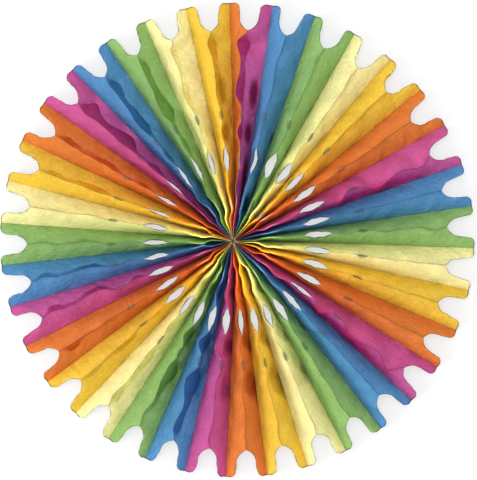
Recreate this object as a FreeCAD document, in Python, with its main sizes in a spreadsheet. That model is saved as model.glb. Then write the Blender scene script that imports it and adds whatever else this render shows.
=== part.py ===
"""A round paper fan, 25 inches across, opened flat and lying on its back.

Sheets of coloured tissue stand in a ring. Each one is folded along its middle into a pleat whose fold
faces the front, and its two long edges are glued to its neighbours in narrow seams that point to the
back. The first and last sheets are half sheets, and their front edges are stuck together to close the
ring. One die has cut the whole stack: a bay between two tabs at the rim, and three slits in each fold.

Frame: the fan's axis is +Z and points to the front, the seams stand on Z = 0, and +Y is the top of the
fan as it hangs. Millimetres and degrees.
"""

import FreeCAD
import Part

import math
import os

PARTS = "parts"

# Every size that a maker would choose, once. Widths and depths called flat are measured on the paper.
SIZES = [
    ("fan_radius", 317.5, "axis to the tip of a tab, on its seam"),
    ("core_radius", 2.5, "axis to the inner ends of the sheets"),
    ("paper_thickness", 0.15, "one sheet of tissue"),
    ("seam_width", 3.0, "glued strip where two sheets meet"),
    ("fold_width", 0.4, "rounding across the fold of a pleat, drawn flat"),
    ("pleat_width", 45.0, "flat, from the glued strip to the fold"),
    ("sheet_count", 36, "sheets of tissue, the two half sheets included"),
    ("first_seam_angle", 81.8, "direction of the first seam clockwise from the closing pleat"),
    ("spread_error", 1.5, "how far the hand that opened the fan left a seam from its even place"),
    ("spread_phase", 15.2, "where round the fan that error starts"),
    ("fold_sway", 0.42, "largest sideways lean of a fold, as a share of half its pleat"),
    ("bay_depth", 40.0, "length of the bay cut between two tabs"),
    ("bay_straight", 20.0, "length of the bay's straight sides"),
    ("bay_half_width", 12.4, "half the bay where its straight sides start, seen from the front"),
    ("bay_flare", 10.0, "degrees by which each straight side turns outwards"),
    ("tab_corner", 7.0, "rounding of a tab's corners"),
    ("outer_slit_radius", 166.0, "axis to the middle of the outer slit"),
    ("outer_slit_length", 14.0, "length of the outer slit"),
    ("outer_slit_depth", 5.5, "flat, from the fold"),
    ("middle_slit_radius", 108.0, "axis to the middle of the middle slit"),
    ("middle_slit_length", 36.0, "length of the middle slit"),
    ("middle_slit_depth", 18.0, "flat, from the fold"),
    ("inner_slit_radius", 48.0, "axis to the middle of the inner slit"),
    ("inner_slit_length", 20.0, "length of the inner slit"),
    ("inner_slit_depth", 14.0, "flat, from the fold"),
]

COLOURS = ("pink", "blue", "green", "yellow", "gold", "orange")
SLITS = ("inner", "middle", "outer")

# How far each fold leans, clockwise round the fan from the closing pleat: 1 is fully to the
# counter-clockwise side and -1 fully to the clockwise side.
LEANS = (
    0.9, 0.2, 0.0, 0.0, 0.2, 0.0,
    -1.0, 0.0, 0.0, 0.0, 0.0, -0.2,
    -1.0, 0.0, 0.0, -0.4, -0.4, -0.2,
    -0.7, -0.8, -0.2, 0.2, 0.0, 0.0,
    -0.6, -0.2, 0.0, 0.0, 0.3, 0.3,
    0.3, 1.0, 1.0, 0.0, 0.0,
)

# Steps from the core to each slit in turn and then to the bay, in a sheet whose fold leans.
LEANING_STEPS = (1, 2, 2, 2)

# Flat sides that stand for a full circle in the die, where it cuts a slit or a bay and a tab's corner.
ROUND_SIDES = 24
CORNER_SIDES = 18

# Largest gap, in millimetres, between four corners and one plane for them to count as flat.
FLATNESS = 1e-6

# Half the angle of an even pleat, the slant of a bay's straight sides, and a height that passes
# through every sheet, for the die.
HALF_PLEAT = "180 deg / (sizes.sheet_count - 1)"
FLARE = "1 deg * sizes.bay_flare"
DIE_HEIGHT = "2 * sizes.pleat_width"

UP = FreeCAD.Vector(0, 0, 1)
ACROSS = FreeCAD.Vector(0, 1, 0)
AXIS_POINT = FreeCAD.Vector(0, 0, 0)


def make_table(doc):
    """The spreadsheet that drives the model, one size to a row."""
    table = doc.addObject("Spreadsheet::Sheet", "sizes")
    for row, (alias, value, note) in enumerate(SIZES, start=1):
        table.set(f"A{row}", note)
        table.set(f"B{row}", str(value))
        table.setAlias(f"B{row}", alias)
    doc.recompute()
    return table


def seam_angle(size, index):
    """Direction of a seam, in degrees. Seams are counted clockwise from the closing pleat."""
    turn = 360.0 * index / (size("sheet_count") - 1)
    error = size("spread_error") * math.sin(math.radians(turn + size("spread_phase")))
    return size("first_seam_angle") - turn - error


def held_distances(size):
    """Distances from the axis where a fold can't lean: the core, the slits and the bay."""
    slits = [size(f"{name}_slit_radius") for name in SLITS]
    return [size("core_radius")] + slits + [size("fan_radius") - size("bay_depth")]


def stations(size, lean):
    """Distances from the axis at which the paper's section is drawn."""
    held = held_distances(size)
    found = []
    for start, stop, steps in zip(held, held[1:], LEANING_STEPS):
        count = steps if lean else 1
        found += [start + (stop - start) * step / count for step in range(count)]
    half_pleat = math.pi / (size("sheet_count") - 1)
    return found + [held[-1], size("fan_radius") * math.cos(half_pleat)]


def sway(size, distance, half, lean):
    """Sideways shift of a fold at a distance from the axis, largest midway between two held places."""
    held = held_distances(size)
    for start, stop in zip(held, held[1:]):
        if start < distance < stop:
            bow = math.sin(math.pi * (distance - start) / (stop - start))
            return lean * size("fold_sway") * half * bow
    return 0.0


def whole_section(size, distance, half_angle, lean):
    """Front line of a folded sheet across its pleat: seam, limb, fold, limb, seam."""
    half = distance * math.tan(math.radians(half_angle))
    shift = sway(size, distance, half, lean)
    seam = size("seam_width")
    fold = 0.5 * size("fold_width")
    top = seam + math.sqrt(size("pleat_width") ** 2 - (half + abs(shift) - fold) ** 2)
    left = [(half, 0.0), (half, seam), (shift + fold, top)]
    right = [(shift - fold, top), (-half, seam), (-half, 0.0)]
    return left + right


def half_section(size, distance, half_angle, lean):
    """Front line of the half sheet on the +Y side: seam, limb, and the strip that closes the ring."""
    half = distance * math.tan(math.radians(half_angle))
    shift = sway(size, distance, half, lean)
    seam = size("seam_width")
    foot = shift + size("paper_thickness")
    top = seam + math.sqrt((size("pleat_width") - seam) ** 2 - (half + abs(shift)) ** 2)
    return [(half, 0.0), (half, seam), (foot, top), (foot, top + seam)]


def offset_line(points, thickness):
    """The line that runs beside an open line of points, a thickness to its left, with mitred corners."""
    sides = []
    for (y0, z0), (y1, z1) in zip(points, points[1:]):
        length = math.hypot(y1 - y0, z1 - z0)
        shift = (thickness * (z0 - z1) / length, thickness * (y1 - y0) / length)
        sides.append(((y0 + shift[0], z0 + shift[1]), (y1 - y0, z1 - z0)))
    beside = [sides[0][0]]
    for ((y0, z0), (uy, uz)), ((y1, z1), (vy, vz)) in zip(sides, sides[1:]):
        along = ((y1 - y0) * vz - (z1 - z0) * vy) / (uy * vz - uz * vy)
        beside.append((y0 + along * uy, z0 + along * uz))
    (start_y, start_z), (last_y, last_z) = sides[-1]
    beside.append((start_y + last_y, start_z + last_z))
    return beside


def facet(*corners):
    """Flat face through its corners."""
    return Part.Face(Part.makePolygon(list(corners) + [corners[0]]))


def strip(a, b, c, d):
    """Faces of the paper between line a-b and the next line c-d: one if it is flat, or else two.

    The two meet along a crease from the higher end of the first line to the lower end of the next.
    """
    normal = (b - a).cross(c - a)
    if abs(normal.dot(d - a)) < FLATNESS * normal.Length:
        return [facet(a, b, d, c)]
    if b.z > a.z:
        return [facet(a, b, c), facet(b, d, c)]
    return [facet(a, b, d), facet(a, d, c)]


def folded_paper(size, section, half_angle, lean):
    """Solid sheet of paper with its fold along +X, through its section at every station."""
    rings = []
    for distance in stations(size, lean):
        front = section(size, distance, half_angle, lean)
        back = offset_line(front, size("paper_thickness"))
        rings.append([FreeCAD.Vector(distance, y, z) for y, z in front + back[::-1]])
    faces = [facet(*rings[0]), facet(*rings[-1])]
    for near, far in zip(rings, rings[1:]):
        for corners in zip(near, near[1:] + near[:1], far, far[1:] + far[:1]):
            faces += strip(*corners)
    shell = Part.makeShell(faces)
    shell.sewShape()
    solid = Part.makeSolid(shell)
    if solid.Volume < 0:
        solid.reverse()
    return solid


def bind(thing, **formulas):
    """Ties properties of an object to formulas in the spreadsheet's sizes."""
    for path, formula in formulas.items():
        thing.setExpression(path.replace("__", "."), formula)


def round_cutter(doc, name, radius, x, y, sides=ROUND_SIDES):
    """Upright round cutter, drawn with flat sides."""
    made = doc.addObject("Part::Prism", name)
    made.Polygon = sides
    bind(made, Circumradius=radius, Height=DIE_HEIGHT, Placement__Base__x=x, Placement__Base__y=y)
    return made


def combine(doc, kind, name, base, tool):
    """Boolean of two objects of the die."""
    made = doc.addObject(kind, name)
    made.Base = base
    made.Tool = tool
    return made


def lens(doc, name, x, half_length, half_width):
    """Pointed cutter: what two round ones share."""
    radius = f"(({half_length})^2 + ({half_width})^2) / (2 * ({half_width}))"
    back = f"({radius} - ({half_width}))"
    left = round_cutter(doc, f"{name}_left", radius, x, f"-{back}")
    right = round_cutter(doc, f"{name}_right", radius, x, back)
    return combine(doc, "Part::Common", name, left, right)


def bay_mouth(doc, start):
    """Cutter for the straight sides of the bay, which open outwards."""
    half = "sizes.bay_half_width"
    length = "2 * sizes.bay_straight"
    wide = f"({half} + {length} * tan({FLARE}))"
    made = doc.addObject("Part::Wedge", "bay_mouth")
    made.Ymin = made.Zmin = made.Z2min = 0
    bind(made, Ymax=length, Zmax=DIE_HEIGHT, Z2max=DIE_HEIGHT)
    bind(made, Xmin=f"-{half}", Xmax=half, X2min=f"-{wide}", X2max=wide)
    made.Placement = FreeCAD.Placement(AXIS_POINT, FreeCAD.Rotation(UP, -90))
    bind(made, Placement__Base__x=start)
    return made


def tab_corner(doc, side, sign):
    """Cutter that rounds one corner of a tab: a block less a round cutter that meets both its edges."""
    corner = "sizes.tab_corner"
    x = f"(sizes.fan_radius * cos({HALF_PLEAT}) - {corner})"
    wall = f"(sizes.bay_half_width + ({x} - sizes.fan_radius + sizes.bay_straight) * tan({FLARE}))"
    y = f"{sign} * ({wall} + {corner} / cos({FLARE}))"
    block = doc.addObject("Part::Box", f"corner_block_{side}")
    bind(block, Length=f"2 * {corner}", Width=f"2 * {corner}", Height=DIE_HEIGHT)
    bind(block, Placement__Base__x=f"{x} + {corner} * sin({FLARE})")
    bind(block, Placement__Base__y=f"{y} - {1 + sign} * {corner}")
    rounding = round_cutter(doc, f"corner_round_{side}", corner, x, y, CORNER_SIDES)
    return combine(doc, "Part::Cut", f"tab_corner_{side}", block, rounding)


def make_die(doc):
    """Everything that one stroke of the die cuts from a sheet whose fold runs along +X."""
    cutters = []
    for name in SLITS:
        slit = f"sizes.{name}_slit"
        seen = f"{slit}_depth * {slit}_radius * tan({HALF_PLEAT}) / sizes.pleat_width"
        cutters.append(lens(doc, f"{name}_slit", f"{slit}_radius", f"{slit}_length / 2", seen))
    start = "sizes.fan_radius - sizes.bay_straight"
    point = "sizes.bay_depth - sizes.bay_straight"
    cutters.append(lens(doc, "bay_end", start, point, "sizes.bay_half_width"))
    cutters.append(bay_mouth(doc, start))
    cutters.append(tab_corner(doc, "left", 1))
    cutters.append(tab_corner(doc, "right", -1))
    die = doc.addObject("Part::Compound", "die")
    die.Links = cutters
    return die


def uncut_sheet(size, number, half_angle):
    """Folded paper for one sheet. The first and the last are the halves that close the ring."""
    if number == 1:
        mirrored = folded_paper(size, half_section, half_angle, -LEANS[0])
        return mirrored.mirror(AXIS_POINT, ACROSS)
    if number == size("sheet_count"):
        return folded_paper(size, half_section, half_angle, LEANS[0])
    return folded_paper(size, whole_section, half_angle, LEANS[(number - 1) % len(LEANS)])


def make_sheet(doc, size, number, die):
    """One sheet of tissue, cut by the die and turned to its place between two seams."""
    last = size("sheet_count") - 2
    before = seam_angle(size, number - 2) if 1 < number <= last + 1 else seam_angle(size, last) + 360.0
    after = seam_angle(size, number - 1) if number <= last + 1 else seam_angle(size, 0)
    uncut = doc.addObject("Part::Feature", f"uncut_{number:02d}")
    uncut.Shape = uncut_sheet(size, number, 0.5 * (before - after))
    made = combine(doc, "Part::Cut", f"sheet_{number:02d}", uncut, die)
    made.Refine = True
    made.Label = f"{COLOURS[(number - 1) % len(COLOURS)]}_sheet_{number:02d}"
    made.Placement = FreeCAD.Placement(AXIS_POINT, FreeCAD.Rotation(UP, 0.5 * (before + after)))
    return made


def check(doc, sheets):
    """Stops before anything is written if an object failed or a sheet isn't one valid solid."""
    for thing in doc.Objects:
        if "Invalid" in thing.State or "Error" in thing.State:
            raise RuntimeError(f"{thing.Name} failed: {thing.State}")
    for sheet in sheets:
        shape = sheet.Shape
        if shape.isNull() or not shape.isValid() or len(shape.Solids) != 1:
            raise RuntimeError(f"{sheet.Label} is not one valid solid")


def main():
    doc = FreeCAD.newDocument("paper_fan")
    table = make_table(doc)
    die = make_die(doc)
    doc.recompute()
    numbers = range(1, int(table.get("sheet_count")) + 1)
    sheets = [make_sheet(doc, table.get, number, die) for number in numbers]
    doc.recompute()
    check(doc, sheets)
    os.makedirs(PARTS, exist_ok=True)
    for sheet in sheets:
        sheet.Shape.exportStep(os.path.join(PARTS, f"{sheet.Label}.step"))


main()
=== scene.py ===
import math

import bpy
import numpy as np
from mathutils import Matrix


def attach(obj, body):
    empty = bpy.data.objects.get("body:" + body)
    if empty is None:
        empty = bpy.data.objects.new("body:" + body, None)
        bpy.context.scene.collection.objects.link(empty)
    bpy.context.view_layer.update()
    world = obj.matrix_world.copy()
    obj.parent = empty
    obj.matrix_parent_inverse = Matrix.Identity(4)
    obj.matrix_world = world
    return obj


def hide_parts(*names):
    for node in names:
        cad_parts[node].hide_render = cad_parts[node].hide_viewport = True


# The fan lies on its back with its axis on Z, and +Y is its top. The shape is worked out in
# millimetres and turned into metres when a mesh is made.
MM = 0.001

# The die-cut stack and the ring, as the solids have them. Angles are in degrees.
FAN_RADIUS = 317.5
CORE_RADIUS = 2.5
PAPER_THICKNESS = 0.15
SEAM_WIDTH = 3.0
PLEAT_WIDTH = 45.0
SHEET_COUNT = 36
FIRST_SEAM_ANGLE = 81.8
SPREAD_ERROR = 1.5
SPREAD_PHASE = 15.2
BAY_DEPTH = 40.0
BAY_STRAIGHT = 20.0
BAY_HALF_WIDTH = 12.4
BAY_FLARE = 10.0
TAB_CORNER = 7.0

# Each slit's distance from the axis, length, and depth on the paper from the fold
SLITS = (
    (48.0, 20.0, 14.0),
    (108.0, 36.0, 18.0),
    (166.0, 14.0, 5.5),
)

PLEATS = SHEET_COUNT - 1
HALF_PLEAT = math.pi / PLEATS
FAN_END = FAN_RADIUS * math.cos(HALF_PLEAT)
BAY_APEX = FAN_RADIUS - BAY_DEPTH
BAY_START = FAN_RADIUS - BAY_STRAIGHT

# Tissue colours in the order of the stack, as 0 to 255 screen values
COLOURS = {
    "pink": (214, 103, 167),
    "blue": (98, 160, 208),
    "green": (161, 199, 122),
    "yellow": (250, 243, 184),
    "gold": (241, 210, 79),
    "orange": (231, 141, 68),
}

# The dye's clouds, darker and lighter than its colour, and the share of light that passes through
CLOUD_DARK = 0.91
CLOUD_LIGHT = 1.05
CLOUD_LIFT = 0.004
PASSING_LIGHT = 0.48

# How a fold leans at four places between the bay and the core, which the bay and the slits hold
# apart. 1 is a lean of half a pleat's width, counter-clockwise.
LEANS = {
    1: (0.63, 0.73, 0.58, 0.58),
    2: (0.12, 0.15, 0.28, 0.35),
    3: (0.05, 0.04, -0.05, 0.05),
    4: (0.04, -0.05, 0.06, 0.05),
    5: (0.06, 0.08, 0.10, 0.10),
    6: (0.05, -0.06, -0.08, 0.04),
    7: (-0.45, -0.70, -0.65, -0.45),
    8: (0.03, -0.03, 0.04, 0.04),
    9: (-0.03, 0.04, -0.03, 0.03),
    10: (0.03, -0.03, 0.03, -0.04),
    11: (0.03, 0.05, 0.06, 0.05),
    12: (-0.05, -0.08, -0.12, -0.05),
    13: (-0.65, -0.60, -0.80, -0.80),
    14: (0.04, 0.04, -0.04, -0.20),
    15: (-0.04, -0.04, -0.10, -0.25),
    16: (0.04, 0.03, -0.20, -0.60),
    17: (-0.05, -0.05, -0.20, -0.55),
    18: (0.04, -0.04, -0.15, -0.40),
    19: (-0.10, -0.15, -0.75, -0.70),
    20: (-0.20, -0.45, -0.55, -0.55),
    21: (-0.08, -0.15, -0.25, -0.25),
    22: (-0.15, -0.05, -0.15, -0.20),
    23: (0.05, 0.06, 0.05, -0.05),
    24: (0.08, 0.05, 0.05, 0.05),
    25: (-0.10, -0.35, -0.10, -0.10),
    26: (-0.08, -0.15, -0.05, -0.05),
    27: (-0.04, -0.05, -0.04, 0.04),
    28: (0.04, -0.03, 0.04, 0.05),
    29: (0.08, 0.15, 0.10, 0.10),
    30: (0.08, 0.12, 0.10, 0.10),
    31: (0.15, 0.12, 0.10, 0.15),
    32: (0.10, 0.35, 0.25, 0.80),
    33: (0.10, 0.42, 0.25, 0.75),
    34: (0.30, 0.45, 0.20, 0.15),
    35: (0.25, 0.15, 0.15, 0.15),
}

# How a fold leans where its slits hold it. The folds that aren't listed stand straight there.
SLIT_LEANS = {
    1: 0.28, 2: 0.28, 4: -0.12, 5: 0.08, 9: 0.20, 12: -0.10,
    17: 0.12, 18: 0.12, 19: 0.14, 20: 0.12, 21: 0.14, 22: 0.08,
    24: 0.08, 25: 0.12, 26: 0.08, 27: 0.14, 28: 0.08, 29: 0.12,
    30: 0.15, 31: 0.06, 32: 0.12, 33: 0.15, 34: 0.12,
}

# Where a limb has buckled: sheet, side (1 is counter-clockwise), and how much at the same four
# places. A positive amount hollows it below the fold, and the hollow's colour is painted richer and a
# little lighter. A negative one bulges it slightly above the seam, where the neighbour's shade is
# painted on it.
BUCKLES = (
    (1, -1, (1.0, 0.9, 0.9, 0.5)),
    (2, -1, (0.2, 0.2, -0.6, -0.5)),
    (3, 1, (0.4, 0.2, 0.2, -0.3)),
    (4, -1, (0.4, 0.2, 0.1, -0.3)),
    (5, -1, (0.3, 0.3, 0.1, 0.1)),
    (6, -1, (0.1, 0.2, 0.2, 0.1)),
    (7, -1, (0.3, 0.4, 0.4, 0.3)),
    (13, -1, (0.4, 0.4, 0.5, 0.5)),
    (15, 1, (0.1, -0.1, -0.5, -0.5)),
    (16, 1, (0.0, -0.6, -0.7, -0.8)),
    (17, 1, (0.0, -0.9, -0.8, -0.8)),
    (18, 1, (0.0, -0.7, -0.8, -0.7)),
    (19, 1, (0.1, -0.4, -0.9, -0.9)),
    (20, 1, (0.9, 1.7, 1.7, 1.5)),
    (21, 1, (0.3, 1.6, 1.6, 1.2)),
    (22, 1, (0.9, 1.1, 0.9, 0.5)),
    (23, 1, (0.5, 0.9, 0.7, 0.3)),
    (24, 1, (0.9, 0.4, 0.2, 0.2)),
    (25, -1, (0.8, 0.9, 0.7, 0.5)),
    (26, -1, (0.6, 0.8, 0.3, 0.2)),
    (27, -1, (0.3, 0.5, 0.3, 0.2)),
    (28, -1, (0.4, 0.4, 0.2, 0.1)),
    (29, -1, (0.6, 0.9, 0.3, 0.1)),
    (30, -1, (0.8, 0.9, 0.8, 0.3)),
    (31, -1, (1.6, 1.7, 1.3, 0.8)),
    (32, -1, (1.1, 1.2, 0.8, 0.5)),
    (33, -1, (0.8, 1.4, 0.9, 0.5)),
    (34, -1, (0.6, 0.7, -0.6, 0.2)),
    (35, -1, (1.0, 1.1, 1.0, 0.5)),
)

# A limb without its own buckles gets four small ones between these amounts
SMALL_BUCKLES = (-0.1, 0.2)

# A hollow's depth as a share of the limb's width as seen from the front, and how far it reaches down
# from the fold. Every fold stands a little steeper than its limbs, as the smallest buckle does, and
# BUCKLE_HOLD is the share of the second amount that is left where the slits hold the paper.
HOLLOW_SHARE = 0.22
BUCKLE_REACH = 0.55
SMALLEST_BUCKLE = 0.12
BUCKLE_HOLD = 0.35

# A bulge's height, how far up from the seam it reaches, at least and beside a hollow at most, and the
# width of a buckle's crease
BULGE_OFFSET = 1.5
BULGE_REACH = 0.8
LOWEST_BULGE = 0.12
BULGE_LIMIT = 0.6
CREASE_SHARE = 0.02

# Where the curves along a sheet bend, from the axis. The slits hold the paper between the two
# distances of a pair, and it is free between them.
CORE_BEND = 28.0
INNER_HOLD = (42.0, 53.0)
INNER_FREE = 70.0
MIDDLE_HOLD = (92.0, 124.0)
MIDDLE_FREE = 143.0
OUTER_HOLD = (160.0, 172.0)
OUTER_FREE = 195.0
NECK = 236.0
RIM_FREE = 262.0
NECK_SHARE = 0.15
BAY_SHARE = 0.3

# The fold's tremble: its height, and the number and the shortest and longest of its waves. It calms
# down over these distances at the core and the rim. A jog is the fold's kink at its inner slit, as a
# lean.
TREMBLE = 0.4
TREMBLE_WAVES = (4, 22.0, 60.0)
CALM_CORE = 60.0
CALM_RIM = 40.0
LARGEST_JOG = 0.75

# A limb's billow and creases: their heights and waves, the mean of a creased wave, and the most that
# a wave slants. They begin near the core and grow over a distance.
BILLOW = 0.6
BILLOW_WAVES = (5, 30.0, 80.0)
CREASE_HEIGHT = 0.5
CREASE_WAVES = (7, 16.0, 60.0)
CREASE_MEAN = 1.27
MOST_SLANT = 1.5
CRUMPLE_START = 10.0
CRUMPLE_RAMP = 70.0
LEAST_CRUMPLE = 0.05
LOOSENESS_POWER = 0.8

# How far a limb may stand off its flat face, as a share of half the pleat less a margin, and the
# margins that it keeps from the front of the fan and from the floor
ROOM_SHARE = 0.45
ROOM_MARGIN = 0.6
FRONT_MARGIN = 0.1
BACK_MARGIN = 0.1

# The half sheets begin to be stuck together where the die has left this share of them
CLOSED_SHARE = 0.97

# Random numbers start from these, plus the sheet's number
FOLD_SEED = 100
LIMB_SEED = 1000

# How far a sheet's slits stand open beside how wide the die cuts them: next to the core, in the
# middle and outside
PLAIN_GAPES = (0.15, 1.0, 0.06)
GAPES = {
    1: (0.2, 0.12, 0.1),
    2: (0.5, 0.6, 0.1),
    3: (0.5, 1.3, 0.1),
    5: (0.4, 0.8, 0.1),
    6: (0.4, 1.0, 0.1),
    13: (0.15, 0.6, 0.1),
    14: (0.15, 0.8, 0.1),
    16: (0.15, 0.7, 0.1),
    18: (0.15, 0.7, 0.1),
    22: (0.15, 0.7, 0.1),
    24: (0.15, 0.8, 0.1),
    25: (0.15, 0.9, 0.1),
    26: (0.15, 0.8, 0.1),
    27: (0.15, 0.8, 0.1),
    28: (0.15, 0.8, 0.1),
    29: (0.15, 0.6, 0.1),
    30: (0.15, 0.6, 0.1),
    31: (0.15, 0.4, 0.1),
    32: (0.15, 0.5, 0.1),
    33: (0.15, 0.55, 0.1),
    34: (0.15, 0.6, 0.1),
    35: (0.4, 0.8, 0.12),
}

# Soft patches of painted shade, most of them dark, where the colour is deepened and darkened to stand
# in for shade, and a few painted lighter: sheet, middle across the pleat (1 is the counter-clockwise
# seam) and half-width, middle and half-length along it, painted richness and painted brightness
PATCHES = (
    (1, -0.58, 0.40, 196, 24, 0.90, 0.43),
    (1, -0.45, 0.45, 143, 16, 0.90, 0.43),
    (1, -0.60, 0.40, 85, 35, 0.90, 0.48),
    (2, -0.50, 0.30, 146, 12, 0.34, 0.80),
    (2, -0.10, 0.55, 49, 15, 0.80, 0.35),
    (3, 0.30, 0.40, 95, 12, 0.50, 0.75),
    (3, -0.10, 0.50, 48, 13, 0.80, 0.35),
    (5, 0.00, 0.40, 48, 10, 0.50, 0.50),
    (7, -0.80, 0.60, 190, 95, 0.85, 1.25),
    (13, -0.80, 0.65, 180, 105, 0.85, 1.25),
    (15, 0.45, 0.40, 123, 14, 0.30, 0.92),
    (16, 0.50, 0.50, 134, 14, 0.40, 0.84),
    (16, 0.62, 0.58, 192, 23, 0.40, 0.86),
    (17, 0.50, 0.50, 134, 14, 0.55, 0.77),
    (17, 0.62, 0.58, 192, 23, 0.55, 0.76),
    (18, 0.50, 0.50, 133, 14, 0.60, 0.76),
    (18, 0.62, 0.58, 192, 23, 0.60, 0.74),
    (19, 0.55, 0.50, 142, 15, 0.60, 0.82),
    (19, 0.60, 0.45, 196, 22, 0.45, 0.86),
    (20, 0.60, 0.55, 143, 17, 0.60, 0.85),
    (20, 0.60, 0.55, 198, 27, 0.60, 0.85),
    (21, 0.60, 0.55, 143, 17, 0.55, 0.86),
    (21, 0.60, 0.55, 198, 27, 0.55, 0.86),
    (34, -0.55, 0.38, 147, 15, 0.40, 0.90),
    (35, -0.30, 0.32, 199, 24, 0.60, 0.80),
    (35, -0.30, 0.32, 143, 15, 0.60, 0.80),
    (35, -0.30, 0.50, 66, 15, 0.40, 0.85),
)
# A patch ends at this share of its half-width and half-length, and fades over a share of them
PATCH_RIM = 1.15
PATCH_SOFTNESS = 0.75

# Sheets that are more crumpled than the rest, and how much
CRUMPLES = {2: 2.0, 3: 2.2, 4: 1.8, 5: 1.9, 6: 1.5, 14: 1.4, 15: 1.5, 16: 1.5, 34: 1.5}

# How much richer a buckled part of a limb is painted than the rest, how much painted light a hollow
# gets and how much painted shade a bulge gets, and how fast that grows with the buckle
BUCKLE_RICHNESS = 0.75
LOOK_GAIN = 1.6
HOLLOW_GAIN = 0.06
BULGE_SHADE = 0.30

# How dark the painted shade line along a fold and along a cut edge is, and how far it reaches down
# the limb, at most at the middle of a slit. Inside the core the folds get a painted highlight
# instead.
CREASE_DEPTH = 0.40
CUT_DEPTH = 0.9
CREASE_REACH = 1.9
SLIT_REACH = 6.6
PAINTED_HIGHLIGHT_CORE = 62.0
CREST_GAIN = 0.2

# The share of a limb's light that comes through or off its neighbour, on the clockwise side (-1)
# and the other: it fades towards the rim and, by a share, towards the fold
SPILL = {-1: 0.16, 1: 0.30}
SPILL_FOLD_FADE = 0.5
SPILL_END = 250.0
SPILL_FADE = 170.0
SPILL_GAIN = 1.3

# Near the core the valleys are deep in shade and the upper parts of the limbs catch the light. The
# heart is the innermost part, with shade of its own, and the crests begin at its end.
CORE_REACH = 95.0
VALLEY_SHADE = 0.5
UPPER_GAIN = 0.5
HEART_REACH = 40.0
HEART_SHADE = 0.5
HEART_END = 6.0
HEART_RAMP = 34.0

# Where the fronts of the pleats meet, off the axis, and how soon that fades towards the rim
CENTRE_SHIFT = (-5.8, -1.6)
CENTRE_REACH = 75.0

# Columns of the mesh across a limb: up a bulge, on its crease, between, on a hollow's crease, up the
# hollow, and in the dark line at the fold
COLUMNS = (3, 1, 5, 1, 4, 3)

# Rows of the mesh along it: all the way, along a slit, and round a bay and a tab's corner, and the
# least distance between two of them
PLAIN_ROWS = 120
SLIT_ROWS = 13
CURVE_ROWS = 14
LEAST_STEP = 0.12

# In metres and degrees: points closer than this are joined, and faces that meet at more are creased
WELD_DISTANCE = 0.00002
SHARP_ANGLE = 40.0

# Strength of the white surroundings
WORLD_LIGHT = 1.1

# The floor in metres, its own grey, and the glow that makes it white to the eye
FLOOR_SIDE = 12.0
FLOOR_GAP = 0.0003
FLOOR_COLOUR = 0.2
FLOOR_GLOW = 0.62

# The camera in metres and millimetres of film, and the fan's circle in the picture in pixels
CAMERA_HEIGHT = 2.5
SENSOR_WIDTH = 36.0
PHOTO_SIDE = 480
CIRCLE_RADIUS_PX = 237.0
CIRCLE_OFFSET_PX = 1.2


def seam_angle(index):
    """Direction of a seam in radians, counted clockwise from the closing pleat."""
    turn = 2 * math.pi * index / PLEATS
    error = math.radians(SPREAD_ERROR) * math.sin(turn + math.radians(SPREAD_PHASE))
    return math.radians(FIRST_SEAM_ANGLE) - turn - error


def lens_half_width(offset, half_length, half_width):
    """Half-width of a pointed lens at an offset along it from its middle."""
    radius = (half_length**2 + half_width**2) / (2 * half_width)
    inside = np.clip(radius**2 - offset**2, 0.0, None)
    return np.clip(np.sqrt(inside) - (radius - half_width), 0.0, None)


def stations():
    """Distances from the axis of the mesh's rows: close together where the die has cut."""
    found = [np.linspace(CORE_RADIUS, FAN_END, PLAIN_ROWS)]
    turn = np.linspace(0.0, math.pi, SLIT_ROWS)
    for middle, length, _ in SLITS:
        found.append(middle - 0.5 * length * np.cos(turn))
    quarter = np.linspace(0.0, math.pi / 2, CURVE_ROWS)
    found.append(BAY_APEX + (BAY_START - BAY_APEX) * (1 - np.cos(quarter)))
    found.append(FAN_END - TAB_CORNER * (1 - np.sin(quarter)))
    rows = np.unique(np.round(np.concatenate(found), 3))
    keep = np.concatenate([[True], np.diff(rows) > LEAST_STEP])
    return rows[keep]


def paper_share(rows, half_angle, gapes):
    """Share of each limb that the die has left, measured from the seam to the fold."""
    lost = np.zeros_like(rows)
    for (middle, length, depth), gape in zip(SLITS, gapes):
        seen = gape * depth * middle * math.tan(HALF_PLEAT) / PLEAT_WIDTH
        lost += lens_half_width(rows - middle, 0.5 * length, seen)
    bay = lens_half_width(rows - BAY_START, BAY_START - BAY_APEX, BAY_HALF_WIDTH)
    flare = BAY_HALF_WIDTH + (rows - BAY_START) * math.tan(math.radians(BAY_FLARE))
    into = np.clip(rows - (FAN_END - TAB_CORNER), 0.0, TAB_CORNER)
    corner = TAB_CORNER - np.sqrt(TAB_CORNER**2 - into**2)
    lost += np.where(rows > BAY_START, flare + corner, bay)
    return 1.0 - lost / (rows * math.tan(half_angle))


def lobes(rows, amounts, held=0.0, jog=0.0):
    """A smooth curve along the sheet: four amounts where it is free, and one where slits hold it."""
    rim, outer, middle, inner = amounts
    course = (
        (CORE_RADIUS, 0.0),
        (CORE_BEND, 0.5 * inner - jog),
        (INNER_HOLD[0], held + jog),
        (INNER_HOLD[1], held + 0.5 * jog),
        (INNER_FREE, inner),
        (MIDDLE_HOLD[0], held),
        (MIDDLE_HOLD[1], held),
        (MIDDLE_FREE, middle),
        (OUTER_HOLD[0], held),
        (OUTER_HOLD[1], held),
        (OUTER_FREE, outer),
        (NECK, held + NECK_SHARE * (outer + rim - 2 * held)),
        (RIM_FREE, rim),
        (BAY_APEX, BAY_SHARE * held),
    )
    places, values = zip(*course)
    made = np.full_like(rows, values[-1])
    for start, stop, low, high in zip(places, places[1:], values, values[1:]):
        part = np.clip((rows - start) / (stop - start), 0.0, 1.0)
        curve = low + (high - low) * 0.5 * (1 - np.cos(math.pi * part))
        made = np.where((rows >= start) & (rows < stop), curve, made)
    return made


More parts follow.
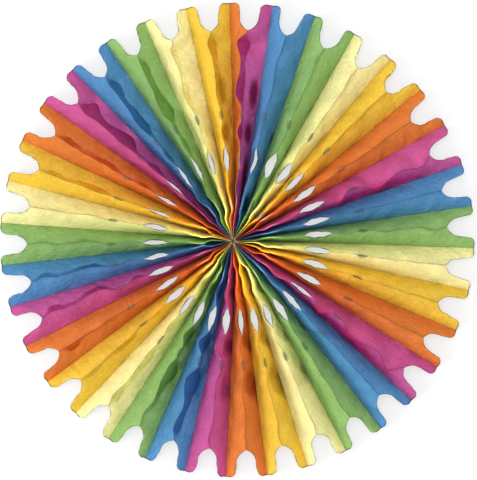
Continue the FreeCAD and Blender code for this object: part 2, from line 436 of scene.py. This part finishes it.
def waves(rng, rows, across, count, shortest, longest, sharp=False):
    """Smooth or creased random relief over a limb, about 1 high, from a few slanting waves."""
    relief = np.zeros((len(rows), len(across)))
    for _ in range(count):
        length = rng.uniform(shortest, longest)
        slant = rng.uniform(-MOST_SLANT, MOST_SLANT)
        phase = rng.uniform(0.0, 2 * math.pi)
        along = 2 * math.pi * rows / length
        over = 2 * math.pi * slant * across * PLEAT_WIDTH / length
        wave = np.sin(along[:, None] + over[None, :] + phase)
        relief += CREASE_MEAN - 2.0 * np.abs(wave) if sharp else wave
    return relief / math.sqrt(count)


def fold_line(rng, rows, half_angle, leans, held):
    """Sideways shift and height of a fold along the sheet."""
    half = rows * math.tan(half_angle)
    tremble = waves(rng, rows, np.zeros(1), *TREMBLE_WAVES)[:, 0]
    calm = np.clip(rows / CALM_CORE, 0.0, 1.0) * np.clip((FAN_END - rows) / CALM_RIM, 0.0, 1.0)
    jog = rng.uniform(-LARGEST_JOG, LARGEST_JOG)
    shift = half * lobes(rows, leans, held, jog) + TREMBLE * tremble * calm
    top = SEAM_WIDTH + np.sqrt(PLEAT_WIDTH**2 - (half + np.abs(shift)) ** 2)
    return shift, top


def tent(v, peak):
    """Rises from 0 at the seam to 1 at its peak and falls to 0 at the fold."""
    return np.minimum(v / peak, np.clip(1.0 - v, 0.0, None) / (1.0 - peak))


def buckled(rows, buckles):
    """How hollow and how bulged a limb is along its length, and where their peaks lie across it."""
    held = BUCKLE_HOLD * max(buckles[1], 0.0)
    hollow = np.clip(lobes(rows, buckles, held), SMALLEST_BUCKLE, None)
    hollow_at = 1.0 - BUCKLE_REACH * hollow
    bulge = np.clip(-lobes(rows, buckles), 0.0, 1.0)
    bulge_at = np.clip(BULGE_REACH * bulge, LOWEST_BULGE, None)
    return np.minimum(hollow, 1.0), hollow_at, bulge, bulge_at


def cut_edges(rows):
    """Where the die has cut the fold open, and how far the painted shade line there reaches down the
    limb.
    """
    lips = sum(lens_half_width(rows - middle, 0.5 * length, 1.0) for middle, length, _ in SLITS)
    outside = rows > PAINTED_HIGHLIGHT_CORE
    cut = outside & ((lips > 0.0) | (rows > BAY_APEX))
    return cut, CREASE_REACH + (SLIT_REACH - CREASE_REACH) * np.where(outside, lips, 0.0)


def columns_across(low_crease, hollow_at, edge_reach):
    """Places of the mesh's columns from the seam (0) to the fold (1), in each row."""
    edge_at = 1.0 - edge_reach / PLEAT_WIDTH
    marks = [np.zeros_like(hollow_at), low_crease, low_crease + CREASE_SHARE, hollow_at]
    marks += [np.minimum(hollow_at + CREASE_SHARE, edge_at), edge_at, np.ones_like(hollow_at)]
    columns = [marks[0]]
    for low, high, count in zip(marks, marks[1:], COLUMNS):
        columns += [low + (high - low) * (step + 1) / count for step in range(count)]
    return np.stack(columns, axis=1)


def wrinkles(rng, rows, v, crumple):
    """Random relief of a limb, largest halfway up it and calm towards the core."""
    loose = np.sin(math.pi * np.clip(v, 0.0, 1.0)) ** LOOSENESS_POWER
    across = np.linspace(0.0, 1.0, v.shape[1])
    calm = np.clip((rows - CRUMPLE_START) / CRUMPLE_RAMP, LEAST_CRUMPLE, 1.0)
    billow = BILLOW * waves(rng, rows, across, *BILLOW_WAVES) + rng.uniform(0.0, 1.0)
    creases = CREASE_HEIGHT * waves(rng, rows, across, *CREASE_WAVES, sharp=True)
    return loose * (crumple * billow + creases) * calm[:, None]


def limb(rng, rows, side, half_angle, fold, share, buckles, crumple):
    """Points of one limb, from the back edge of its seam to its fold or cut edge, and their painted
    richness, painted light and shade, and share of painted light from the neighbour.
    """
    shift, top = fold
    half = rows * math.tan(half_angle)
    hollow, hollow_at, bulge, bulge_at = buckled(rows, buckles)
    cut, edge_reach = cut_edges(rows)
    low_crease = np.minimum(bulge_at, BULGE_LIMIT * hollow_at)
    part = columns_across(low_crease, hollow_at, edge_reach)
    v = share[:, None] * part

    foot_y = side * half
    width = shift - foot_y
    height = top - SEAM_WIDTH
    reach = np.hypot(width, height)
    push = wrinkles(rng, rows, v, crumple)
    push += BULGE_OFFSET * bulge[:, None] * tent(v, bulge_at[:, None])
    push -= (HOLLOW_SHARE * np.abs(width) * hollow)[:, None] * tent(v, hollow_at[:, None])
    room = ROOM_SHARE * np.clip(half - ROOM_MARGIN, 0.0, None)[:, None]
    push = np.clip(push, -room, room)
    y = foot_y[:, None] + width[:, None] * v + (side * height / reach)[:, None] * push
    z = SEAM_WIDTH + height[:, None] * v - (side * width / reach)[:, None] * push
    z = np.clip(z, SEAM_WIDTH, SEAM_WIDTH + PLEAT_WIDTH - FRONT_MARGIN)
    x = np.repeat(rows[:, None], v.shape[1], axis=1)
    levels = (BACK_MARGIN, SEAM_WIDTH / 2)
    seam = [np.stack([rows, foot_y, np.full_like(rows, level)], axis=1) for level in levels]
    points = np.concatenate([np.stack(seam, axis=1), np.stack([x, y, z], axis=2)], axis=1)

    # The buckles' looks are painted: hollows get a richer, slightly lighter colour, and bulges a
    # richer colour with painted shade
    above_crease = part > hollow_at[:, None] + 0.5 * CREASE_SHARE
    hollow_look = stronger(hollow[:, None] * above_crease)
    below_crease = np.clip(LOOK_GAIN * (1.0 - part / low_crease[:, None]), 0.0, 1.0)
    bulge_look = stronger(bulge[:, None] * below_crease)
    richness = BUCKLE_RICHNESS * np.maximum(hollow_look, bulge_look)
    painted_shading = (1.0 + HOLLOW_GAIN * hollow_look) * (1.0 - BULGE_SHADE * bulge_look)
    # Painted shade lines at the fold and cut edges, painted crest highlights, and painted shade and
    # light near the core
    painted_shading = painted_shading * painted_edge_shading(rows, part, cut, edge_reach) * painted_core_shading(rows, v)
    # Share of light from the neighbour that is painted into the colour
    spill = SPILL[side] * np.clip((SPILL_END - rows) / SPILL_FADE, 0.0, 1.0)[:, None]
    spill = spill * (1.0 - SPILL_FOLD_FADE * v)
    looks = np.stack([richness, painted_shading, spill], axis=2)
    return points, np.concatenate([np.repeat(looks[:, :1], len(seam), axis=1), looks], axis=1)


def stronger(amount):
    """How much of a buckle's painted richness, painted light and painted shade shows, from nothing at
    the smallest buckle.
    """
    return np.clip(LOOK_GAIN * (amount - SMALLEST_BUCKLE), 0.0, 1.0)


def painted_edge_shading(rows, part, cut, edge_reach):
    """Painted shade along the fold, the cut edges and the tab's end, and a painted highlight on the
    crests inside the core, where the rest of the limb has 1.
    """
    edge = np.clip(1.0 - (1.0 - part) * PLEAT_WIDTH / edge_reach[:, None], 0.0, 1.0)
    crest = np.where(rows < PAINTED_HIGHLIGHT_CORE, CREST_GAIN, -CREASE_DEPTH)
    crest = np.where(cut, -CUT_DEPTH, crest)[:, None] * crest_rise(rows)
    rim = np.clip(1.0 - (FAN_END - rows) / CREASE_REACH, 0.0, 1.0)[:, None]
    return (1.0 + edge * crest) * (1.0 - CUT_DEPTH * rim)


def painted_core_shading(rows, v):
    """Painted brightness near the core: painted shade in the valleys, painted light on the upper part
    of the limb.
    """
    near = np.exp(-((rows / CORE_REACH) ** 2))[:, None]
    heart = np.exp(-((rows / HEART_REACH) ** 2))[:, None]
    valley = VALLEY_SHADE * near * (1.0 - v) ** 2
    upper = UPPER_GAIN * near * crest_rise(rows) * v**3
    return (1.0 - valley + upper) * (1.0 - HEART_SHADE * heart * (1.0 - v))


def crest_rise(rows):
    """Rises from 0 at the end of the heart to 1, in each row."""
    return np.clip((rows - HEART_END) / HEART_RAMP, 0.0, 1.0)[:, None]


def closing_strip(points, looks, share):
    """Adds the narrow strip by which a half sheet is stuck to the other half at the closing."""
    whole = np.clip((share - CLOSED_SHARE) / (1.0 - CLOSED_SHARE), 0.0, 1.0)
    rises = []
    for rise in (0.5, 1.0):
        line = points[:, -1, :].copy()
        line[:, 2] += rise * SEAM_WIDTH * whole
        rises.append(line)
    points = np.concatenate([points, np.stack(rises, axis=1)], axis=1)
    return points, np.concatenate([looks, np.repeat(looks[:, -1:], len(rises), axis=1)], axis=1)


def shaded(number, points, looks, half_angle, neighbour):
    """Painted richness and painted brightness at each point of a limb, tinted and lightened by light
    painted in from the neighbour, with the sheet's soft patches of painted shade added.
    """
    rows = points[:, :, 0]
    across = points[:, :, 1] / (rows * math.tan(half_angle))
    painted_shade_richness, painted_shading = looks[:, :, 0], looks[:, :, 1]
    # Each patch is painted shade: it deepens and darkens the colour, or lightens it where its
    # brightness is above 1
    for sheet, middle, half_width, radius, half_length, richness, level in PATCHES:
        if sheet == number:
            away = np.hypot((across - middle) / half_width, (rows - radius) / half_length)
            amount = np.clip((PATCH_RIM - away) / PATCH_SOFTNESS, 0.0, 1.0)
            amount = amount * amount * (3.0 - 2.0 * amount)
            painted_shade_richness = np.maximum(painted_shade_richness, richness * amount)
            painted_shading = painted_shading * (1.0 + (level - 1.0) * amount)
    # Light from the neighbour is painted in: the colour is tinted towards the neighbour's and made
    # lighter
    spill = looks[:, :, 2:]
    light = np.array([linear(c) for c in COLOURS[neighbour]])
    tint = 1.0 - spill + spill * light / light.max()
    return painted_shade_richness, tint * painted_shading[:, :, None] * (1.0 + SPILL_GAIN * spill * light.mean())


def place(points, angle):
    """Turns points to a sheet's direction and leans the core of the fan off its axis."""
    x = points[..., 0] * math.cos(angle) - points[..., 1] * math.sin(angle)
    y = points[..., 0] * math.sin(angle) + points[..., 1] * math.cos(angle)
    z = points[..., 2]
    pull = np.exp(-((points[..., 0] / CENTRE_REACH) ** 2)) * (z / (SEAM_WIDTH + PLEAT_WIDTH))
    return np.stack([x + CENTRE_SHIFT[0] * pull, y + CENTRE_SHIFT[1] * pull, z], axis=-1)


def grid_faces(first, rows, columns, flip):
    """Quads of a grid of points, the first of which has the index given."""
    faces = []
    for i in range(rows - 1):
        for j in range(columns - 1):
            a = first + i * columns + j
            quad = (a, a + 1, a + columns + 1, a + columns)
            faces.append(quad[::-1] if flip else quad)
    return faces


def make_mesh(name, grids):
    """Mesh of one or two limbs, joined along the fold where the die has left it."""
    vertices = []
    faces = []
    looks = {"painted_shade_richness": [], "painted_shading": []}
    for points, richness, light, flip in grids:
        rows, columns = points.shape[:2]
        faces += grid_faces(len(vertices), rows, columns, flip)
        vertices += [tuple(p) for p in (points.reshape(-1, 3) * MM)]
        looks["painted_shade_richness"].append(richness.ravel())
        looks["painted_shading"].append(light.reshape(-1, 3))
    mesh = bpy.data.meshes.new(name)
    mesh.from_pydata(vertices, [], faces)
    # The painted richness and the painted light and shade of each point, kept for the material
    painted_shade_richness = mesh.attributes.new("painted_shade_richness", "FLOAT", "POINT")
    painted_shade_richness.data.foreach_set("value", np.concatenate(looks["painted_shade_richness"]))
    painted_shading = mesh.attributes.new("painted_shading", "FLOAT_VECTOR", "POINT")
    painted_shading.data.foreach_set("vector", np.concatenate(looks["painted_shading"]).ravel())
    made = bpy.data.objects.new(name, mesh)
    bpy.context.scene.collection.objects.link(made)
    weld = made.modifiers.new("weld", "WELD")
    weld.merge_threshold = WELD_DISTANCE
    thick = made.modifiers.new("paper", "SOLIDIFY")
    thick.thickness = PAPER_THICKNESS * MM
    thick.offset = -1.0
    bpy.context.view_layer.update()
    evaluated = made.evaluated_get(bpy.context.evaluated_depsgraph_get())
    final = bpy.data.meshes.new_from_object(evaluated)
    final.name = name
    made.modifiers.clear()
    made.data = final
    bpy.data.meshes.remove(mesh)
    final.polygons.foreach_set("use_smooth", [True] * len(final.polygons))
    final.set_sharp_from_angle(angle=math.radians(SHARP_ANGLE))
    return made


def linear(value):
    """Screen value, 0 to 255, as linear light."""
    share = value / 255
    return share / 12.92 if share <= 0.04045 else ((share + 0.055) / 1.055) ** 2.4


def multiplied(tree, first, second, share=1.0):
    """One colour multiplied by another, or as much of that as a share says."""
    node = tree.nodes.new("ShaderNodeMix")
    node.data_type = "RGBA"
    node.blend_type = "MULTIPLY"
    if isinstance(share, bpy.types.NodeSocket):
        tree.links.new(share, node.inputs["Factor"])
    else:
        node.inputs["Factor"].default_value = share
    tree.links.new(first, node.inputs["A"])
    tree.links.new(second, node.inputs["B"])
    return node.outputs["Result"]


def noise(tree, place_of, **values):
    """Noise texture whose inputs have the values given."""
    texture = tree.nodes.new("ShaderNodeTexNoise")
    for name, value in values.items():
        texture.inputs[name].default_value = value
    tree.links.new(place_of, texture.inputs["Vector"])
    return texture.outputs["Fac"]


def ramp(tree, factor, low, high):
    """Colour ramp between two stops, each a position and a colour."""
    node = tree.nodes.new("ShaderNodeValToRGB")
    for stop, (position, colour) in zip(node.color_ramp.elements, (low, high)):
        stop.position = position
        stop.color = (*colour, 1.0)
    tree.links.new(factor, node.inputs["Fac"])
    return node.outputs["Color"]


def bumped(tree, height, strength, distance, normal=None):
    """Normal of a surface with small relief, on top of another normal if one is given."""
    node = tree.nodes.new("ShaderNodeBump")
    node.inputs["Strength"].default_value = strength
    node.inputs["Distance"].default_value = distance
    tree.links.new(height, node.inputs["Height"])
    if normal:
        tree.links.new(normal, node.inputs["Normal"])
    return node.outputs["Normal"]


def dyed(tree, place_of, base):
    """Cloudy dye with loose fibres, with the mesh's painted richness and painted light and shade
    multiplied in.
    """
    cloud = noise(tree, place_of, Scale=45.0, Detail=5.0, Roughness=0.6)
    fibre = noise(tree, place_of, Scale=420.0, Detail=3.0, Distortion=1.2)
    dark = [c * CLOUD_DARK for c in base]
    light = [min(1.0, c * CLOUD_LIGHT + CLOUD_LIFT) for c in base]
    clouds = ramp(tree, cloud, (0.3, dark), (0.7, light))
    threads = ramp(tree, fibre, (0.35, (0.88, 0.88, 0.88)), (0.7, (1.06, 1.06, 1.06)))
    dye = multiplied(tree, clouds, threads)
    # The mesh's painted richness deepens the colour, and its painted light and shade brighten or
    # darken it
    painted_shade_richness = tree.nodes.new("ShaderNodeAttribute")
    painted_shade_richness.attribute_name = "painted_shade_richness"
    painted_shading = tree.nodes.new("ShaderNodeAttribute")
    painted_shading.attribute_name = "painted_shading"
    rich = multiplied(tree, dye, dye, painted_shade_richness.outputs["Fac"])
    lit = tree.nodes.new("ShaderNodeVectorMath")
    lit.operation = "MULTIPLY"
    tree.links.new(rich, lit.inputs[0])
    tree.links.new(painted_shading.outputs["Vector"], lit.inputs[1])
    return lit.outputs["Vector"]


def crinkled(tree, place_of):
    """Normal of crumpled tissue: flat facets with fine crinkles on them."""
    crumple = tree.nodes.new("ShaderNodeTexVoronoi")
    crumple.feature = "DISTANCE_TO_EDGE"
    crumple.inputs["Scale"].default_value = 85.0
    crumple.inputs["Randomness"].default_value = 1.0
    tree.links.new(place_of, crumple.inputs["Vector"])
    facets = bumped(tree, crumple.outputs["Distance"], strength=0.4, distance=0.003)
    crinkle = noise(tree, place_of, Scale=130.0, Detail=6.0, Roughness=0.62)
    return bumped(tree, crinkle, strength=0.5, distance=0.0015, normal=facets)


def new_material(name):
    """Empty material, with its node tree."""
    material = bpy.data.materials.new(name)
    material.use_nodes = True
    material.node_tree.nodes.clear()
    return material, material.node_tree


def tissue(name, colour):
    """Thin dyed tissue: it has a matte face, and almost half of its light passes through."""
    material, tree = new_material(name)
    nodes, links = tree.nodes, tree.links
    place_of = nodes.new("ShaderNodeTexCoord").outputs["Object"]
    dye = dyed(tree, place_of, [linear(c) for c in colour])
    normal = crinkled(tree, place_of)
    surface = nodes.new("ShaderNodeBsdfPrincipled")
    surface.inputs["Roughness"].default_value = 0.85
    surface.inputs["Specular IOR Level"].default_value = 0.1
    links.new(dye, surface.inputs["Base Color"])
    links.new(normal, surface.inputs["Normal"])
    through = nodes.new("ShaderNodeBsdfTranslucent")
    links.new(dye, through.inputs["Color"])
    links.new(normal, through.inputs["Normal"])
    mix = nodes.new("ShaderNodeMixShader")
    mix.inputs["Fac"].default_value = PASSING_LIGHT
    links.new(surface.outputs["BSDF"], mix.inputs[1])
    links.new(through.outputs["BSDF"], mix.inputs[2])
    output = nodes.new("ShaderNodeOutputMaterial")
    links.new(mix.outputs["Shader"], output.inputs["Surface"])
    return material


def make_sheet(number, rows, materials):
    """One sheet of tissue in its place, in front of its plain solid."""
    names = list(COLOURS)
    colour = names[(number - 1) % len(names)]
    closing = number in (1, SHEET_COUNT)
    before = seam_angle(PLEATS - 1) + 2 * math.pi if closing else seam_angle(number - 2)
    after = seam_angle(0) if closing else seam_angle(number - 1)
    half_angle = 0.5 * (before - after)
    pleat = 1 if closing else number
    fold_rng = np.random.default_rng(FOLD_SEED + pleat)
    fold = fold_line(fold_rng, rows, half_angle, LEANS[pleat], SLIT_LEANS.get(pleat, 0.0))
    if closing:
        fold = (fold[0], fold[1] - SEAM_WIDTH)
    share = paper_share(rows, half_angle, GAPES.get(pleat, PLAIN_GAPES))
    known = {(sheet, side): amounts for sheet, side, amounts in BUCKLES}
    crumple = CRUMPLES.get(number, 1.0)
    sides = {1: (-1,), SHEET_COUNT: (1,)}.get(number, (1, -1))
    grids = []
    for side in sides:
        rng = np.random.default_rng(LIMB_SEED + 2 * number + side)
        small = tuple(rng.uniform(*SMALL_BUCKLES, 4))
        buckles = known.get((number, side), small)
        points, looks = limb(rng, rows, side, half_angle, fold, share, buckles, crumple)
        if closing:
            points, looks = closing_strip(points, looks, share)
        neighbour = names[(number - 1 - side) % len(names)]
        painted_shade_richness, painted_shading = shaded(number, points, looks, half_angle, neighbour)
        grids.append((place(points, 0.5 * (before + after)), painted_shade_richness, painted_shading, side > 0))
    made = make_mesh(f"{colour}_tissue_{number:02d}", grids)
    made.data.materials.append(materials[colour])
    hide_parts(f"{colour}_sheet_{number:02d}")
    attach(made, "root")


def calculate(tree, operation, first, second):
    """Output of one math node, from sockets or plain numbers."""
    node = tree.nodes.new("ShaderNodeMath")
    node.operation = operation
    for socket, value in zip(node.inputs, (first, second)):
        if isinstance(value, bpy.types.NodeSocket):
            tree.links.new(value, socket)
        else:
            socket.default_value = value
    return node.outputs["Value"]


def floor_glow(tree):
    """Glow that the eye and glossy and clear things see, but that no matte face gathers."""
    path = tree.nodes.new("ShaderNodeLightPath").outputs
    clear = calculate(tree, "MAXIMUM", path["Is Glossy Ray"], path["Is Transmission Ray"])
    seen = calculate(tree, "MAXIMUM", path["Is Camera Ray"], clear)
    not_matte = calculate(tree, "SUBTRACT", 1.0, path["Is Diffuse Ray"])
    seen = calculate(tree, "MULTIPLY", seen, not_matte)
    glow = tree.nodes.new("ShaderNodeEmission")
    tree.links.new(calculate(tree, "MULTIPLY", seen, FLOOR_GLOW), glow.inputs["Strength"])
    return glow.outputs["Emission"]


def make_floor():
    """Plain floor, white to the eye, that keeps the fan's shadow."""
    bpy.ops.mesh.primitive_plane_add(size=FLOOR_SIDE, location=(0.0, 0.0, -FLOOR_GAP))
    floor = bpy.context.object
    floor.name = "floor"
    material, tree = new_material("floor")
    matte = tree.nodes.new("ShaderNodeBsdfDiffuse")
    matte.inputs["Color"].default_value = (FLOOR_COLOUR, FLOOR_COLOUR, FLOOR_COLOUR, 1.0)
    both = tree.nodes.new("ShaderNodeAddShader")
    tree.links.new(matte.outputs["BSDF"], both.inputs[0])
    tree.links.new(floor_glow(tree), both.inputs[1])
    output = tree.nodes.new("ShaderNodeOutputMaterial")
    tree.links.new(both.outputs["Shader"], output.inputs["Surface"])
    floor.data.materials.append(material)


def make_lamp(name, place_at, size, power):
    """Square soft lamp that faces the middle of the fan."""
    lamp = bpy.data.lights.new(name, "AREA")
    lamp.size = size
    lamp.energy = power
    made = bpy.data.objects.new(name, lamp)
    made.location = place_at
    bpy.context.scene.collection.objects.link(made)
    direction = -made.location
    made.rotation_mode = "QUATERNION"
    made.rotation_quaternion = direction.to_track_quat("-Z", "Y")


def light_the_scene():
    """Even white surroundings, a soft lamp above, and a weaker one low on the left."""
    world = bpy.data.worlds.new("world")
    world.use_nodes = True
    background = world.node_tree.nodes["Background"]
    background.inputs["Color"].default_value = (1.0, 1.0, 1.0, 1.0)
    background.inputs["Strength"].default_value = WORLD_LIGHT
    bpy.context.scene.world = world
    make_lamp("front", place_at=(-0.2, 0.2, 2.8), size=1.2, power=62.0)
    make_lamp("left", place_at=(-1.9, -0.7, 1.7), size=1.0, power=36.0)


def make_camera():
    """Looks straight down the fan's axis, framed as the photo is."""
    camera = bpy.data.cameras.new("camera")
    camera.sensor_width = SENSOR_WIDTH
    field = PHOTO_SIDE * FAN_RADIUS / CIRCLE_RADIUS_PX * MM
    camera.lens = camera.sensor_width * (CAMERA_HEIGHT - SEAM_WIDTH * MM) / field
    made = bpy.data.objects.new("camera", camera)
    made.location = (CIRCLE_OFFSET_PX * FAN_RADIUS / CIRCLE_RADIUS_PX * MM, 0.0, CAMERA_HEIGHT)
    bpy.context.scene.collection.objects.link(made)
    bpy.context.scene.camera = made


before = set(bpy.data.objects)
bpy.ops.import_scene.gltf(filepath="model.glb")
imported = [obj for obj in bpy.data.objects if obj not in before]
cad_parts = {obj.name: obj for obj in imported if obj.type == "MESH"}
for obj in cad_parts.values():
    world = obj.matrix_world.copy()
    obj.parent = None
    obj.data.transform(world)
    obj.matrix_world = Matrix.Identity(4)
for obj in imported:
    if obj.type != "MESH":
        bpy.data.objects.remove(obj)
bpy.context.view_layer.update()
bpy.context.scene.view_settings.view_transform = "Standard"

mesh_rows = stations()
tissues = {colour: tissue(f"{colour}_tissue", value) for colour, value in COLOURS.items()}
for sheet_number in range(1, SHEET_COUNT + 1):
    make_sheet(sheet_number, mesh_rows, tissues)
make_floor()
light_the_scene()
make_camera()

bpy.context.view_layer.update()
